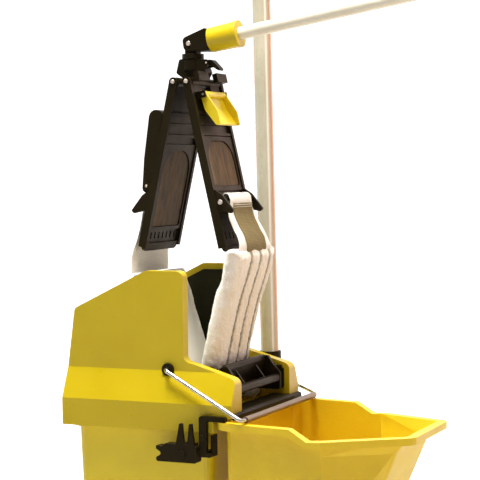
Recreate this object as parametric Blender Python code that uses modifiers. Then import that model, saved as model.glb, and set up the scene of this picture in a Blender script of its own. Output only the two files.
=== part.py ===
"""Flat-mop bucket set: two buckets, a press wringer with a lever, and a folding flat mop standing in it.

Metres, +Z up.  +X is the pouring side, +Y is the lever side.  The origin is on the floor under the
middle of the rear bucket.
"""

import math

import bmesh
import bpy
from mathutils import Matrix, Vector

GAP = 0.0003  # left between pieces that touch

# Rear bucket, under the wringer
REAR_BACK_X = -0.112
REAR_FRONT_X = 0.105
REAR_HALF_WIDTH = 0.108
REAR_RIM_Z = 0.272
BUCKET_WALL = 0.0028
REAR_CORNER = 0.018
REAR_DRAFT = 0.010

# Front bucket, with the pouring lip
FRONT_X = 0.133  # outside of its rear wall, under the rim
FRONT_RIM_Z = 0.280
FRONT_STEP = 0.018  # how far the rim drops past the step
LIP_RISE = 0.0035  # how far it climbs again to the lip
FRONT_HALF_WIDTH = 0.128
FRONT_CREASE_X = 0.276
FRONT_LIP_X = 0.381
FRONT_LIP_HALF = 0.072
RIM_DEEP = 0.010

# Wringer housing
CHEEK_INNER = 0.088
CHEEK_OUTER = 0.104
SKIRT_OUTER = 0.123
SKIRT_Z = 0.263
CREASE_LOW_Z = 0.302
CREASE_HIGH_Z = 0.345
CHEEK_TOP_Z = 0.486
HOUSING_BACK_X = -0.125
HOUSING_FRONT_X = 0.144
SKIRT_END_X = 0.116
CHEEK_FRONT_X = 0.062
SHELL = 0.003

# Bail
BAIL_X = 0.0385
BAIL_Z = 0.347
BAIL_WIRE = 0.003
BAIL_REST_X = 0.167
BAIL_REST_Z = 0.2852
BAIL_HALF = 0.142

# Press: shaft, lever, cranks and jaw
SHAFT_X = 0.082
SHAFT_Z = 0.288
SHAFT_R = 0.006
LEVER_Y = 0.162
LEVER_LEAN = math.radians(0.83)
LEVER_R = 0.014
LEVER_TOP = 0.760  # above the shaft
CRANK_R = 0.032
CRANK_ANGLE = math.radians(42)

# Mop
MOP_X = 0.038
WING_HINGE_HALF = 0.0105
WING_HINGE_Z = 0.755
WING_ANGLE = math.radians(12.7)
WING_LENGTH = 0.250
WING_HALF = 0.056
PAD_OFFSET = 0.014
PAD_THICK = 0.012
PAD_HALF = 0.080
PAD_LENGTH = 0.238
PAD_ANGLE = math.radians(16.4)
KNUCKLE_X = 0.033
KNUCKLE_Z = 0.812
HANDLE_SLOPE = math.radians(9.0)
HANDLE_R = 0.0095
HANDLE_END = 1.20  # from the knuckle pin

for old in list(bpy.data.objects):
    bpy.data.objects.remove(old)

PARTS = bpy.data.collections.new("mop_and_bucket")
CUTTERS = bpy.data.collections.new("cutters")
bpy.context.scene.collection.children.link(PARTS)
bpy.context.scene.collection.children.link(CUTTERS)


def material(name, colour, roughness, metallic=0.0):
    mat = bpy.data.materials.new(name)
    mat.use_nodes = True
    shader = mat.node_tree.nodes["Principled BSDF"]
    shader.inputs["Base Color"].default_value = (*colour, 1.0)
    shader.inputs["Roughness"].default_value = roughness
    shader.inputs["Metallic"].default_value = metallic
    return mat


YELLOW = material("yellow_plastic", (0.90, 0.62, 0.03), 0.35)
LEMON = material("lemon_plastic", (0.90, 0.74, 0.05), 0.40)
BLACK = material("black_plastic", (0.035, 0.035, 0.022), 0.45)
STEEL = material("steel", (0.62, 0.62, 0.60), 0.30, 1.0)
TUBE = material("coated_tube", (0.66, 0.60, 0.48), 0.30, 0.4)
MICROFIBRE = material("pad_fabric", (0.80, 0.64, 0.50), 0.95)
WEBBING = material("strap_fabric", (0.86, 0.84, 0.78), 0.90)


# ---------------------------------------------------------------- modelling helpers


def add(name, mesh, mat, collection=None):
    obj = bpy.data.objects.new(name, mesh)
    obj.data.materials.clear()
    obj.data.materials.append(mat)
    (collection or PARTS).objects.link(obj)
    return obj


def as_cutter(obj):
    for owner in list(obj.users_collection):
        owner.objects.unlink(obj)
    CUTTERS.objects.link(obj)
    obj.display_type = "WIRE"
    obj.hide_render = True
    return obj


def boolean(obj, other, operation):
    """Join another shape to a piece, or cut it away, and keep the result as plain mesh."""
    modifier = obj.modifiers.new(operation.lower(), "BOOLEAN")
    modifier.operation = operation
    modifier.solver = "EXACT"
    modifier.object = other
    depsgraph = bpy.context.evaluated_depsgraph_get()
    depsgraph.update()
    result = bpy.data.meshes.new_from_object(obj.evaluated_get(depsgraph))
    obj.modifiers.clear()
    obj.data = result
    bpy.data.objects.remove(other)
    return obj


def cut(obj, *cutters):
    for cutter in cutters:
        boolean(obj, as_cutter(cutter), "DIFFERENCE")
    return obj


def join(obj, *others):
    for other in others:
        boolean(obj, other, "UNION")
    return obj


def smooth(obj, angle=35):
    obj.data.shade_smooth()
    obj.data.set_sharp_from_angle(angle=math.radians(angle))
    return obj


def bevel(obj, width, segments=2, angle=40):
    modifier = obj.modifiers.new("rounded edges", "BEVEL")
    modifier.width = width
    modifier.segments = segments
    modifier.limit_method = "ANGLE"
    modifier.angle_limit = math.radians(angle)
    return obj


def rounded(corners, steps=4):
    """An outline through corners (u, v, radius), with each radius as an arc."""
    points = []
    count = len(corners)
    for i, (u, v, radius) in enumerate(corners):
        here = Vector((u, v))
        if radius == 0:
            points.append(here)
            continue
        before = (Vector(corners[i - 1][:2]) - here).normalized()
        after = (Vector(corners[(i + 1) % count][:2]) - here).normalized()
        half = before.angle(after) / 2
        reach = radius / math.tan(half)
        centre = here + (before + after).normalized() * radius / math.sin(half)
        start = here + before * reach - centre
        turn = (here + after * reach - centre).angle_signed(start)
        for k in range(steps + 1):
            points.append(centre + Matrix.Rotation(turn * k / steps, 2) @ start)
    return points


def circle(u, v, radius, sides=20):
    return [
        Vector((u + radius * math.cos(a), v + radius * math.sin(a)))
        for a in (2 * math.pi * k / sides for k in range(sides))
    ]


def slab(name, outlines, low, high, across, mat):
    """A flat outline, with holes for any further outlines, given thickness across one axis."""
    curve = bpy.data.curves.new(name, "CURVE")
    curve.dimensions = "2D"
    curve.fill_mode = "BOTH"
    curve.extrude = (high - low) / 2
    for outline in outlines:
        spline = curve.splines.new("POLY")
        spline.points.add(len(outline) - 1)
        for point, (u, v) in zip(spline.points, outline):
            point.co = (u, v, 0, 1)
        spline.use_cyclic_u = True
    drawn = bpy.data.objects.new(name, curve)
    PARTS.objects.link(drawn)
    depsgraph = bpy.context.evaluated_depsgraph_get()
    mesh = bpy.data.meshes.new_from_object(drawn.evaluated_get(depsgraph))
    bpy.data.objects.remove(drawn)
    middle = (low + high) / 2
    turns = {
        "X": Matrix(((0, 0, 1, middle), (1, 0, 0, 0), (0, 1, 0, 0), (0, 0, 0, 1))),
        "Y": Matrix(((1, 0, 0, 0), (0, 0, -1, middle), (0, 1, 0, 0), (0, 0, 0, 1))),
        "Z": Matrix.Translation((0, 0, middle)),
    }
    bm = bmesh.new()
    bm.from_mesh(mesh)
    bmesh.ops.remove_doubles(bm, verts=bm.verts, dist=0.000001)
    bmesh.ops.transform(bm, matrix=turns[across], verts=bm.verts)
    if len(outlines) == 1:
        bmesh.ops.dissolve_limit(bm, angle_limit=0.01, verts=bm.verts, edges=bm.edges)
    bmesh.ops.recalc_face_normals(bm, faces=bm.faces)
    bm.to_mesh(mesh)
    bm.free()
    return add(name, mesh, mat)


def box(name, low, high, mat):
    bm = bmesh.new()
    bmesh.ops.create_cube(bm, size=1)
    size = Vector(high) - Vector(low)
    bmesh.ops.scale(bm, vec=size, verts=bm.verts)
    bmesh.ops.translate(bm, vec=(Vector(low) + Vector(high)) / 2, verts=bm.verts)
    mesh = bpy.data.meshes.new(name)
    bm.to_mesh(mesh)
    bm.free()
    return add(name, mesh, mat)


def rod(name, start, end, radius, mat, sides=20, radius_end=None):
    """A round bar between two points, tapered if it has a second radius."""
    start, end = Vector(start), Vector(end)
    bm = bmesh.new()
    bmesh.ops.create_cone(
        bm,
        cap_ends=True,
        segments=sides,
        radius1=radius,
        radius2=radius if radius_end is None else radius_end,
        depth=(end - start).length,
    )
    turn = (end - start).to_track_quat("Z", "Y").to_matrix().to_4x4()
    bmesh.ops.transform(bm, matrix=Matrix.Translation((start + end) / 2) @ turn, verts=bm.verts)
    mesh = bpy.data.meshes.new(name)
    bm.to_mesh(mesh)
    bm.free()
    return smooth(add(name, mesh, mat))


def tube_between(name, start, end, outer, inner, mat, sides=24):
    """A hollow tube, open at both ends."""
    start, end = Vector(start), Vector(end)
    spare = (end - start).normalized() * 0.002
    bore = rod("bore", start - spare, end + spare, inner, mat, sides)
    return smooth(cut(rod(name, start, end, outer, mat, sides), bore))


def bent(points, radius, steps=4):
    """A path whose corners are rounded."""
    points = [Vector(p) for p in points]
    path = [points[0]]
    for before, here, after in zip(points, points[1:], points[2:]):
        a = (before - here).normalized()
        b = (after - here).normalized()
        reach = radius / math.tan(a.angle(b) / 2)
        start, end = here + a * reach, here + b * reach
        for k in range(steps + 1):
            t = k / steps
            path.append(start.lerp(here, t).lerp(here.lerp(end, t), t))
    return path + [points[-1]]


def wire(name, path, radius, mat, resolution=3):
    curve = bpy.data.curves.new(name, "CURVE")
    curve.dimensions = "3D"
    curve.bevel_depth = radius
    curve.bevel_resolution = resolution
    curve.use_fill_caps = True
    spline = curve.splines.new("POLY")
    spline.points.add(len(path) - 1)
    for point, place in zip(spline.points, path):
        point.co = (*place, 1)
    drawn = bpy.data.objects.new(name, curve)
    PARTS.objects.link(drawn)
    depsgraph = bpy.context.evaluated_depsgraph_get()
    mesh = bpy.data.meshes.new_from_object(drawn.evaluated_get(depsgraph))
    bpy.data.objects.remove(drawn)
    bm = bmesh.new()
    bm.from_mesh(mesh)
    bmesh.ops.remove_doubles(bm, verts=bm.verts, dist=0.000001)
    bmesh.ops.recalc_face_normals(bm, faces=bm.faces)
    bm.to_mesh(mesh)
    bm.free()
    return smooth(add(name, mesh, mat))


def grown(outline, distance):
    """An outline moved outwards along its own normals."""
    count = len(outline)
    moved = []
    for i, here in enumerate(outline):
        a = (here - outline[i - 1]).normalized()
        b = (outline[(i + 1) % count] - here).normalized()
        na, nb = Vector((a.y, -a.x)), Vector((b.y, -b.x))
        normal = (na + nb).normalized()
        moved.append(here + normal * distance / max(normal.dot(na), 0.5))
    return moved


def tub(name, rings, mat):
    """A moulded tub: outlines stacked into its outer face, closed below, with a wall's thickness."""
    bm = bmesh.new()
    loops = [[bm.verts.new(p) for p in ring] for ring in rings]
    for low, high in zip(loops, loops[1:]):
        for i in range(len(low)):
            j = (i + 1) % len(low)
            bm.faces.new((low[i], low[j], high[j], high[i]))
    bm.faces.new(reversed(loops[0]))
    mesh = bpy.data.meshes.new(name)
    bm.to_mesh(mesh)
    bm.free()
    obj = add(name, mesh, mat)
    wall = obj.modifiers.new("wall", "SOLIDIFY")
    wall.thickness = BUCKET_WALL
    wall.offset = -1
    wall.use_even_offset = True
    return smooth(obj)


# ---------------------------------------------------------------- buckets


def rear_bucket():
    corners = [
        (REAR_FRONT_X, -REAR_HALF_WIDTH, REAR_CORNER),
        (REAR_FRONT_X, REAR_HALF_WIDTH, REAR_CORNER),
        (REAR_BACK_X, REAR_HALF_WIDTH, REAR_CORNER),
        (REAR_BACK_X, -REAR_HALF_WIDTH, REAR_CORNER),
    ]
    base = rounded(corners, 5)
    rim_under = REAR_RIM_Z - BUCKET_WALL
    rings = [
        (-REAR_DRAFT - 0.004, 0),
        (-REAR_DRAFT, 0.004),
        (0, rim_under),
        (0.005, rim_under),
        (0.005, rim_under - 0.009),
    ]
    tub(
        "rear_bucket",
        [[(*p, z) for p in grown(base, offset)] for offset, z in rings],
        LEMON,
    )


def front_outline(lip_x, lip_half, crease_half):
    """Corners of the front bucket's plan at one height."""
    side = [
        (FRONT_X, 1, 0.016),
        (0.234, 1, 0),
        (0.260, 1, 0),
        (FRONT_CREASE_X, 1, 0),
    ]
    near = [(x, -crease_half, r) for x, _, r in side]
    far = [(x, crease_half, r) for x, _, r in reversed(side)]
    return rounded([*near, (lip_x, -lip_half, 0.008), (lip_x, lip_half, 0.008), *far], 4)


def front_bucket():
    levels = [  # height, lip x, lip half-width, half-width at the crease, offset, share of the step
        (0, 0.296, 0.060, 0.116, -0.004, 0),
        (0.004, 0.298, 0.061, 0.117, 0, 0),
        (0.120, 0.313, 0.064, 0.121, 0, 0),
        (FRONT_RIM_Z - 0.034, 0.365, 0.071, 0.127, 0, 0.3),
        (FRONT_RIM_Z - BUCKET_WALL, FRONT_LIP_X, FRONT_LIP_HALF, FRONT_HALF_WIDTH, 0, 1),
        (FRONT_RIM_Z - BUCKET_WALL, FRONT_LIP_X, FRONT_LIP_HALF, FRONT_HALF_WIDTH, 0.0092, 1),
        (FRONT_RIM_Z - RIM_DEEP, FRONT_LIP_X, FRONT_LIP_HALF, FRONT_HALF_WIDTH, 0.0092, 1),
    ]
    rings = []
    for z, lip_x, lip_half, crease_half, offset, share in levels:
        ring = []
        for x, y in grown(front_outline(lip_x, lip_half, crease_half), offset):
            drop = min(max((x - 0.230) / 0.028, 0), 1) * FRONT_STEP
            climb = max((x - 0.258) / (FRONT_LIP_X - 0.258), 0) * LIP_RISE
            ring.append((x, y, z - (drop - climb) * share))
        rings.append(ring)
    tub("front_bucket", rings, YELLOW)


# ---------------------------------------------------------------- brackets between the buckets


def brackets():
    """Black brackets at the joint between the buckets, each with a hook over the front bucket's rim."""
    for side, word in ((-1, "near"), (1, "far")):
        low, high = sorted((side * 0.1245, side * 0.1325))
        outline = rounded(
            [
                (0.098, 0.2305, 0.002),
                (0.116, 0.2305, 0.002),
                (0.116, 0.236, 0.001),
                (0.109, 0.236, 0.002),
                (0.109, 0.2805, 0.001),
                (0.138, 0.2805, 0.001),
                (0.138, 0.2875, 0.003),
                (0.098, 0.2875, 0.003),
            ],
            3,
        )
        bracket = slab(f"bucket_bracket_{word}", [outline], low, high, "Y", BLACK)
        inner = side * 0.1085
        web_low, web_high = sorted((inner, side * 0.1250))
        web = box("web", (0.1125, web_low, 0.2305), (0.1155, web_high, 0.2605), BLACK)
        link_low = min(side * 0.1095, side * 0.1250)
        link = box("link", (0.100, link_low, 0.232), (0.1155, web_high, 0.2385), BLACK)
        join(bracket, web, link)
        rod(
            f"bracket_screw_{word}",
            (0.1035, side * (0.1325 + GAP), 0.258),
            (0.1035, side * 0.1355, 0.258),
            0.0042,
            STEEL,
            16,
        )


def handle_clip():
    """A sprung clip on the near bracket, with two upright prongs and a screw boss."""
    body = rounded(
        [
            (0.035, 0.2225, 0.003),
            (0.0975, 0.2225, 0.003),
            (0.0975, 0.2460, 0.003),
            (0.0935, 0.2460, 0.001),
            (0.0905, 0.2770, 0.001),
            (0.0865, 0.2770, 0.001),
            (0.0835, 0.2480, 0.002),
            (0.0785, 0.2480, 0.002),
            (0.0755, 0.2770, 0.001),
            (0.0715, 0.2770, 0.001),
            (0.0660, 0.2480, 0.002),
            (0.0480, 0.2480, 0.004),
            (0.0440, 0.2430, 0.002),
            (0.035, 0.2450, 0.001),
            (0.035, 0.2400, 0.001),
            (0.045, 0.2340, 0.003),
            (0.035, 0.2280, 0.001),
        ],
        3,
    )
    hole = circle(0.076, 0.2345, 0.0032, 14)
    clip = slab("handle_clip", [body, hole], -0.1400, -0.1240, "Y", BLACK)
    cut(clip, box("cut", (0.03, -0.1240 - 0.011, 0.2495), (0.0965, -0.1100, 0.285), BLACK))
    x, z = 0.076, 0.2345
    screw = rod("clip_screw", (x, -0.1400 - GAP, z), (x, -0.1425, z), 0.0052, STEEL, 14)
    join(screw, rod("shank", (x, -0.1240, z), (x, -0.1410, z), 0.0029, STEEL, 14))


# ---------------------------------------------------------------- wringer housing


def cheek_outline():
    """The housing's side view, stepped up under the front bucket's rim."""
    return rounded(
        [
            (HOUSING_BACK_X, SKIRT_Z, 0.002),
            (SKIRT_END_X, SKIRT_Z, 0.002),
            (SKIRT_END_X, 0.2835, 0.001),
            (HOUSING_FRONT_X, 0.2835, 0.004),
            (HOUSING_FRONT_X, 0.3360, 0.011),
            (0.076, 0.3560, 0.006),
            (CHEEK_FRONT_X, 0.3590, 0.010),
            (CHEEK_FRONT_X, CHEEK_TOP_Z, 0.010),
            (0.003, CHEEK_TOP_Z, 0.010),
            (-0.113, 0.430, 0.008),
            (HOUSING_BACK_X, CREASE_HIGH_Z, 0.008),
        ],
        5,
    )


def cheek(side):
    """One hollow cheek of the housing: upright plate, outward band and skirt over the bucket's rim."""
    inner, outer, skirt = side * CHEEK_INNER, side * CHEEK_OUTER, side * SKIRT_OUTER
    low, high = sorted((inner, skirt))
    solid = slab("cheek", [cheek_outline()], low, high, "Y", YELLOW)
    beyond = side * 0.14
    outside = [
        Vector((outer, 0.60)),
        Vector((outer, CREASE_HIGH_Z)),
        Vector((skirt, CREASE_LOW_Z)),
        Vector((skirt, 0.25)),
        Vector((beyond, 0.25)),
        Vector((beyond, 0.60)),
    ]
    cut(solid, slab("outside", [outside], -0.2, 0.2, "X", YELLOW))
    bevel(solid, 0.004, 3, 20)
    depsgraph = bpy.context.evaluated_depsgraph_get()
    rounded_mesh = bpy.data.meshes.new_from_object(solid.evaluated_get(depsgraph))
    solid.modifiers.clear()
    solid.data = rounded_mesh
    a, b = inner + side * SHELL, skirt - side * SHELL
    hollow = [
        Vector((a, 0.25)),
        Vector((b, 0.25)),
        Vector((b, CREASE_LOW_Z - 0.001)),
        Vector((outer - side * SHELL, CREASE_HIGH_Z - 0.006)),
        Vector((a, CREASE_HIGH_Z - 0.006)),
    ]
    bays = ((-0.121, -0.048), (-0.044, 0.030), (0.047, 0.110))
    for start, end in bays:
        cut(solid, slab("bay", [hollow], start, end, "X", YELLOW))
    return solid


def along_bail(name, side, start, end, radius, mat, sides):
    """A rod on the bail's axis, at one side of the wringer."""
    return rod(name, (BAIL_X, side * start, BAIL_Z), (BAIL_X, side * end, BAIL_Z), radius, mat, sides)


def wringer_housing():
    near, far = cheek(-1), cheek(1)
    near.name = "wringer_housing"
    reach = CHEEK_INNER + 0.001
    back = box("back", (-0.1245, -reach, 0.266), (-0.1215, reach, 0.372), YELLOW)
    beam = box("beam", (0.1125, -reach, 0.2740), (0.1155, reach, 0.2880), YELLOW)
    deck = box("deck", (-0.1225, -reach, 0.2745), (-0.090, reach, 0.2775), YELLOW)
    housing = join(near, back, far, deck, beam)
    for start, end, radius in ((-0.092, -0.087, 0.0093), (0.087, 0.125, 0.0093)):
        hole = rod("shaft_hole", (SHAFT_X, start, SHAFT_Z), (SHAFT_X, end, SHAFT_Z), radius, YELLOW, 20)
        cut(housing, hole)
    cut(housing, box("rim", (-0.1215, -0.1200, 0.25), (0.1135, 0.1200, REAR_RIM_Z + GAP), YELLOW))
    for side in (-1, 1):
        cut(housing, along_bail("spot_face", side, 0.1040, 0.116, 0.0096, YELLOW, 24))
        cut(housing, along_bail("bail_hole", side, 0.0935, 0.106, 0.0053, YELLOW, 16))
    smooth(housing, 15)


def liners():
    """Black plates on the cheeks' inner faces."""
    outline = rounded(
        [
            (-0.116, 0.3000, 0.004),
            (0.136, 0.3000, 0.004),
            (0.136, 0.3310, 0.004),
            (0.055, 0.3500, 0.006),
            (0.052, 0.4770, 0.008),
            (0.005, 0.4770, 0.008),
            (-0.104, 0.4240, 0.008),
        ],
        4,
    )
    for side, word in ((-1, "near"), (1, "far")):
        low, high = sorted((side * 0.085, side * (CHEEK_INNER - GAP)))
        slab(f"liner_{word}", [outline], low, high, "Y", BLACK)


def rear_jaw():
    """The fixed plate that the mop is pressed against, ribbed, between the liners."""
    half = 0.085 - GAP
    outline = rounded(
        [
            (-0.006, 0.2830, 0.001),
            (-0.002, 0.2830, 0.001),
            (-0.024, 0.3520, 0.001),
            (-0.050, 0.3560, 0.001),
            (-0.050, 0.3520, 0.001),
            (-0.0285, 0.3485, 0.001),
        ],
        2,
    )
    jaw = slab("rear_jaw", [outline], -half, half, "Y", BLACK)
    for k in range(5):
        y = (k - 2) * 0.038
        rib = [Vector(p) for p in ((-0.006, 0.286), (-0.045, 0.3545), (-0.045, 0.320), (-0.016, 0.286))]
        join(jaw, slab("rib", [rib], y - 0.0015, y + 0.0015, "Y", BLACK))
    return jaw


def front_sill():
    """The slotted sill under the jaw, with its lip along the housing's front."""
    outline = rounded(
        [
            (0.1160, 0.2885, 0.0005),
            (0.1160, 0.2915, 0.0005),
            (0.1445, 0.2915, 0.001),
            (0.1500, 0.2890, 0.001),
            (0.1500, 0.2820, 0.001),
            (0.1465, 0.2820, 0.001),
            (0.1450, 0.2875, 0.001),
            (0.1430, 0.2885, 0.0005),
        ],
        2,
    )
    half = CHEEK_INNER - GAP
    sill = slab("front_sill", [outline], -half, half, "Y", BLACK)
    lip = rounded(
        [
            (HOUSING_FRONT_X + GAP, 0.2820, 0.001),
            (0.1500, 0.2820, 0.001),
            (0.1500, 0.2890, 0.001),
            (HOUSING_FRONT_X + GAP, 0.2915, 0.001),
        ],
        2,
    )
    return join(sill, slab("lip", [lip], -0.121, 0.121, "Y", BLACK))


def bushes():
    """The bail's and the shaft's bushes."""
    for side, word in ((-1, "near"), (1, "far")):
        bush = along_bail(f"bail_bush_{word}", side, CHEEK_OUTER + GAP, 0.1085, 0.009, BLACK, 24)
        join(bush, along_bail("neck", side, 0.095, 0.106, 0.005, BLACK, 16))
        cut(bush, along_bail("bore", side, 0.090, 0.112, BAIL_WIRE + GAP, BLACK, 16))
    for word, start, end in (("near", -0.0915, -0.0852), ("far", 0.0852, 0.1245)):
        ends = (SHAFT_X, start, SHAFT_Z), (SHAFT_X, end, SHAFT_Z)
        tube_between(f"shaft_bush_{word}", *ends, 0.009, SHAFT_R + GAP, BLACK, 20)


# ---------------------------------------------------------------- bail


def bail():
    ends = [
        (BAIL_X, -0.094, BAIL_Z),
        (BAIL_X, -0.116, BAIL_Z),
        (BAIL_REST_X, -BAIL_HALF, BAIL_REST_Z),
    ]
    other = [(x, -y, z) for x, y, z in reversed(ends)]
    wire("bail_wire", bent([*ends, *other], 0.0065, 4), BAIL_WIRE, STEEL)
    tube_between(
        "bail_grip",
        (BAIL_REST_X, -0.128, BAIL_REST_Z),
        (BAIL_REST_X, 0.128, BAIL_REST_Z),
        0.0046,
        BAIL_WIRE + GAP,
        BLACK,
        16,
    )


# ---------------------------------------------------------------- press: lever, shaft, cranks, jaw


def lever():
    """The lever side of the press, built upright on the shaft and leant back together."""
    pivot = bpy.data.objects.new("lever_axis", None)
    PARTS.objects.link(pivot)
    pivot.location = (SHAFT_X, 0, SHAFT_Z)
    pivot.rotation_euler = (0, -LEVER_LEAN, 0)
    rod("press_shaft", (0, -0.0915, 0), (0, LEVER_Y - 0.002, 0), SHAFT_R, STEEL, 20)
    hub = rod("lever_hub", (0, 0.1340, 0), (0, LEVER_Y + 0.012, 0), 0.0185, BLACK, 28)
    join(hub, rod("socket", (0, LEVER_Y, -0.004), (0, LEVER_Y, 0.058), 0.0175, BLACK, 28))
    cut(
        hub,
        rod("shaft_bore", (0, 0.12, 0), (0, LEVER_Y - 0.001, 0), SHAFT_R + GAP, BLACK, 20),
        rod("tube_bore", (0, LEVER_Y, 0.022), (0, LEVER_Y, 0.09), LEVER_R + GAP, BLACK, 28),
    )
    top = (0, LEVER_Y, LEVER_TOP - 0.012)
    tube_between("lever_tube", (0, LEVER_Y, 0.023), top, LEVER_R, 0.0124, TUBE, 28)
    grip = rod("lever_grip", (0, LEVER_Y, LEVER_TOP - 0.130), (0, LEVER_Y, LEVER_TOP), 0.0172, BLACK, 24)
    bore_ends = (0, LEVER_Y, LEVER_TOP - 0.14), (0, LEVER_Y, LEVER_TOP - 0.0117)
    cut(grip, rod("bore", *bore_ends, LEVER_R + GAP, BLACK, 24))
    rod("lever_screw", (0, LEVER_Y + 0.0178, 0.040), (0, LEVER_Y + 0.0215, 0.040), 0.0055, STEEL, 16)
    names = ["press_shaft", "lever_hub", "lever_tube", "lever_grip", "lever_screw"]
    pin = (CRANK_R * math.sin(CRANK_ANGLE + LEVER_LEAN), CRANK_R * math.cos(CRANK_ANGLE + LEVER_LEAN))
    for side, word in ((-1, "near"), (1, "far")):
        low, high = sorted((side * 0.0783, side * 0.0843))
        arm = slab("arm", [crank_outline(pin), circle(0, 0, SHAFT_R + GAP, 20)], low, high, "Y", STEEL)
        roller_ends = (pin[0], side * 0.0702, pin[1]), (pin[0], side * 0.080, pin[1])
        roller = rod("roller", *roller_ends, 0.004, STEEL, 16)
        arm.name = f"crank_arm_{word}"
        smooth(join(arm, roller))
        names.append(arm.name)
    for name in names:
        bpy.data.objects[name].parent = pivot


def crank_outline(pin):
    """A round-ended arm from the shaft to the roller."""
    along = Vector(pin).normalized()
    across = Vector((-along.y, along.x))
    end = Vector(pin)
    outline = []
    for k in range(9):
        turn = math.pi * k / 8
        outline.append(across * 0.0105 * math.cos(turn) - along * 0.0105 * math.sin(turn))
    for k in range(9):
        turn = math.pi * k / 8
        outline.append(end - across * 0.0075 * math.cos(turn) + along * 0.0075 * math.sin(turn))
    return outline


def jaw():
    """The moving jaw: side plates slotted for the cranks, a front bar, and lips that ride on the rails."""
    pin_x = SHAFT_X + CRANK_R * math.sin(CRANK_ANGLE)
    side_plate = rounded(
        [
            (0.0925, 0.3000, 0.002),
            (0.1360, 0.3000, 0.004),
            (0.1360, 0.3260, 0.006),
            (0.1240, 0.3385, 0.002),
            (0.1165, 0.3500, 0.002),
            (0.1080, 0.3500, 0.002),
            (0.0925, 0.3310, 0.003),
        ],
        3,
    )
    slot = rounded(
        [
            (pin_x - 0.0053, 0.3035, 0.003),
            (pin_x + 0.0053, 0.3035, 0.003),
            (pin_x + 0.0053, 0.3265, 0.003),
            (pin_x - 0.0053, 0.3265, 0.003),
        ],
        3,
    )
    pieces = []
    for side in (-1, 1):
        low, high = sorted((side * 0.070, side * 0.076))
        pieces.append(slab("side", [side_plate, slot], low, high, "Y", BLACK))
        low, high = sorted((side * 0.075, side * 0.0844))
        pieces.append(box("lip", (0.1105, low, 0.3357), (0.1225, high, 0.3379), BLACK))
    low, high = (0.123, 0.312), (0.1355, 0.323)
    corners = (low, (high[0], low[1]), high, (low[0], high[1]))
    bar = rounded([(*corner, 0.003) for corner in corners], 3)
    carriage = slab("jaw_carriage", [bar], -0.073, 0.073, "Y", BLACK)
    join(carriage, *pieces)
    for side in (-1, 1):
        places = ((0.1125, 0.3400), (0.1130, 0.3140), (0.1280, 0.3140), (0.1280, 0.3200))
        gusset = [Vector(place) for place in places]
        middle = side * 0.036
        join(carriage, slab("gusset", [gusset], middle - 0.0015, middle + 0.0015, "Y", BLACK))
    outline = rounded(
        [
            (0.0960, 0.3005, 0.001),
            (0.1000, 0.3005, 0.001),
            (0.1122, 0.3440, 0.001),
            (0.1122, 0.3515, 0.0015),
            (0.1072, 0.3515, 0.0015),
        ],
        2,
    )
    slab("press_plate", [outline], -0.070 + GAP, 0.070 - GAP, "Y", BLACK)
    for side, word in ((-1, "near"), (1, "far")):
        low, high = sorted((side * 0.0788, side * (0.085 - GAP)))
        box(f"guide_rail_{word}", (0.0745, low, 0.3295), (0.1345, high, 0.3354), BLACK)


# ---------------------------------------------------------------- mop


def on_wing(side, along, out):
    """A point on a wing's side view: along it from its hinge, and out from its middle plane."""
    hinge = Vector((MOP_X + side * WING_HINGE_HALF, WING_HINGE_Z))
    run = Vector((side * math.sin(WING_ANGLE), -math.cos(WING_ANGLE)))
    outward = Vector((side * math.cos(WING_ANGLE), math.sin(WING_ANGLE)))
    return hinge + run * along + outward * out


def arch(half, top, bottom, radius):
    """An arched window's plan (across, along), round at its top."""
    return rounded(
        [
            (-half, top, radius),
            (half, top, radius),
            (half, bottom, 0.004),
            (-half, bottom, 0.004),
        ],
        6,
    )


def wing_window(side, inset=0.0):
    """The recess on the face of each wing that shows: outside the right one, inside the left."""
    if side > 0:
        return arch(0.0440 - inset, 0.0880 + inset, 0.1545 - inset, 0.030)
    return arch(0.0430 - inset, 0.1000 + inset, 0.2140 - inset, 0.034)


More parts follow.
